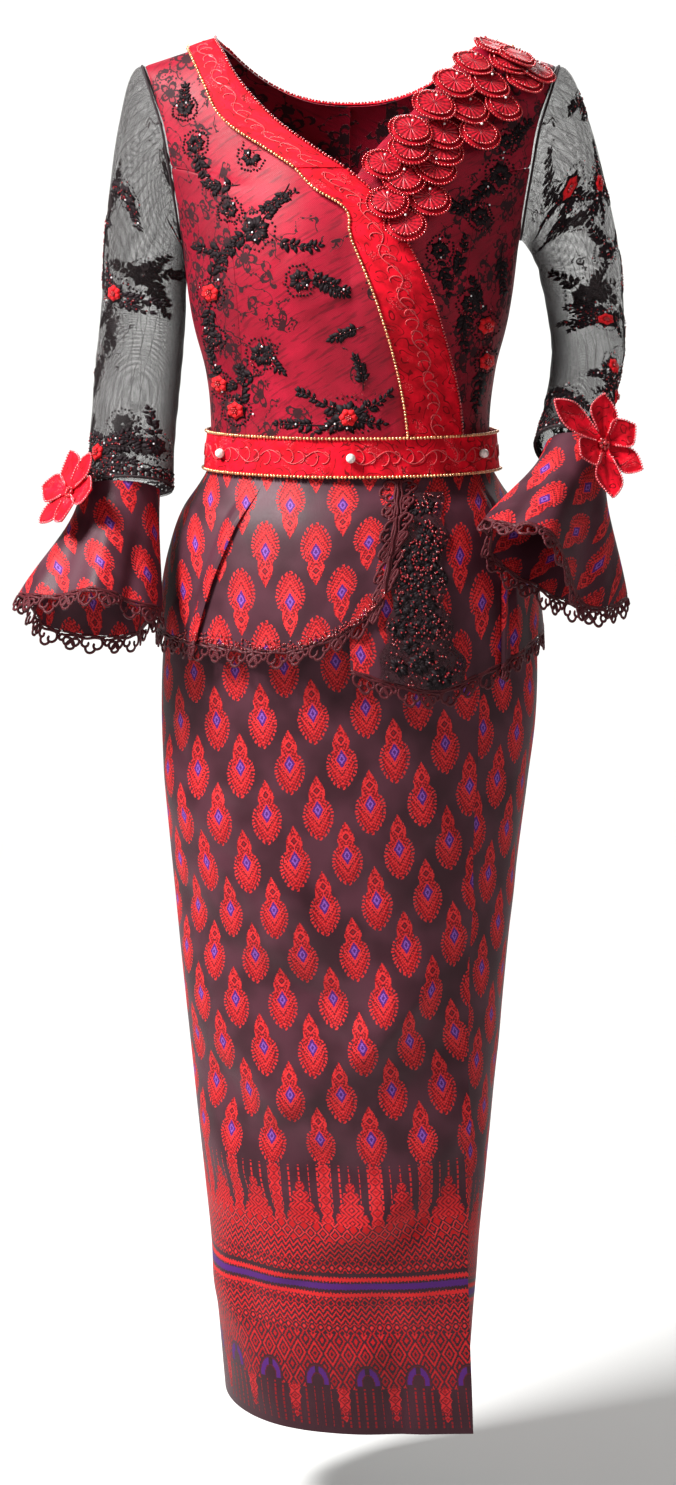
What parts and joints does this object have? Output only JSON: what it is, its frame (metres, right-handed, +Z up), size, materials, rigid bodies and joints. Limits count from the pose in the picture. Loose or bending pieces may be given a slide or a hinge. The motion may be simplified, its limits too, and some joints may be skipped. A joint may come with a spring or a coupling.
{
  "type": "khmer traditional outfit",
  "caption": "Fitted blouse with crossed fronts, lace sleeves, bell cuffs and a pleated peplum, over a long narrow wrapped skirt, in the hollow form it has when worn.",
  "frame": {"origin": "centre of the wearer's waist, at the middle of the belt's height", "axes": "+Z up along the wearer's body, the front faces -Y, and the wearer's right is at -X"},
  "size_m": [0.551, 0.342, 1.2482],
  "materials": {
    "satin": "red satin under black floral net",
    "net": "sheer black net with floral lace",
    "brocade": "dark plum brocade with a satin sheen and woven red teardrops",
    "cutwork": "dark maroon corded cutwork",
    "velvet": "bright red velvet with beaded edges",
    "organza": "red velvet and pleated organza discs",
    "pearl": "white pearl bead",
    "lace": "black beaded lace"
  },
  "bodies": {
    "root": {"belt": "velvet", "belt_pearl_1": "pearl", "belt_pearl_2": "pearl", "belt_pearl_3": "pearl", "belt_pearl_4": "pearl", "belt_pearl_5": "pearl", "belt_pearl_6": "pearl", "bodice_back_left": "satin", "bodice_back_right": "satin", "bodice_front_left_centre": "satin", "bodice_front_left_side": "satin", "bodice_front_right_centre": "satin", "bodice_front_right_side": "satin", "cuff_edging_left_back": "cutwork", "cuff_edging_left_front": "cutwork", "cuff_edging_right_back": "cutwork", "cuff_edging_right_front": "cutwork", "cuff_flower_left": "velvet", "cuff_flower_right": "velvet", "cuff_left": "brocade", "cuff_right": "brocade", "front_band": "velvet", "neck_band": "velvet", "neck_band_back": "velvet", "peplum_back": "brocade", "peplum_edging_back": "cutwork", "peplum_edging_front": "cutwork", "peplum_edging_left": "cutwork", "peplum_edging_right": "cutwork", "peplum_front_left": "brocade", "peplum_front_right": "brocade", "peplum_lace": "lace", "scale_01": "organza", "scale_02": "organza", "scale_03": "organza", "scale_04": "organza", "scale_05": "organza", "scale_06": "organza", "scale_07": "organza", "scale_08": "organza", "scale_09": "organza", "scale_10": "organza", "scale_11": "organza", "scale_12": "organza", "scale_13": "organza", "scale_14": "organza", "scale_15": "organza", "scale_16": "organza", "scale_17": "organza", "scale_18": "organza", "scale_19": "organza", "scale_20": "organza", "scale_21": "organza", "scale_22": "organza", "skirt_back": "brocade", "skirt_front": "brocade", "skirt_left": "brocade", "skirt_waistband": "satin", "sleeve_left": "net", "sleeve_right": "net"}
  },
  "joints": []
}
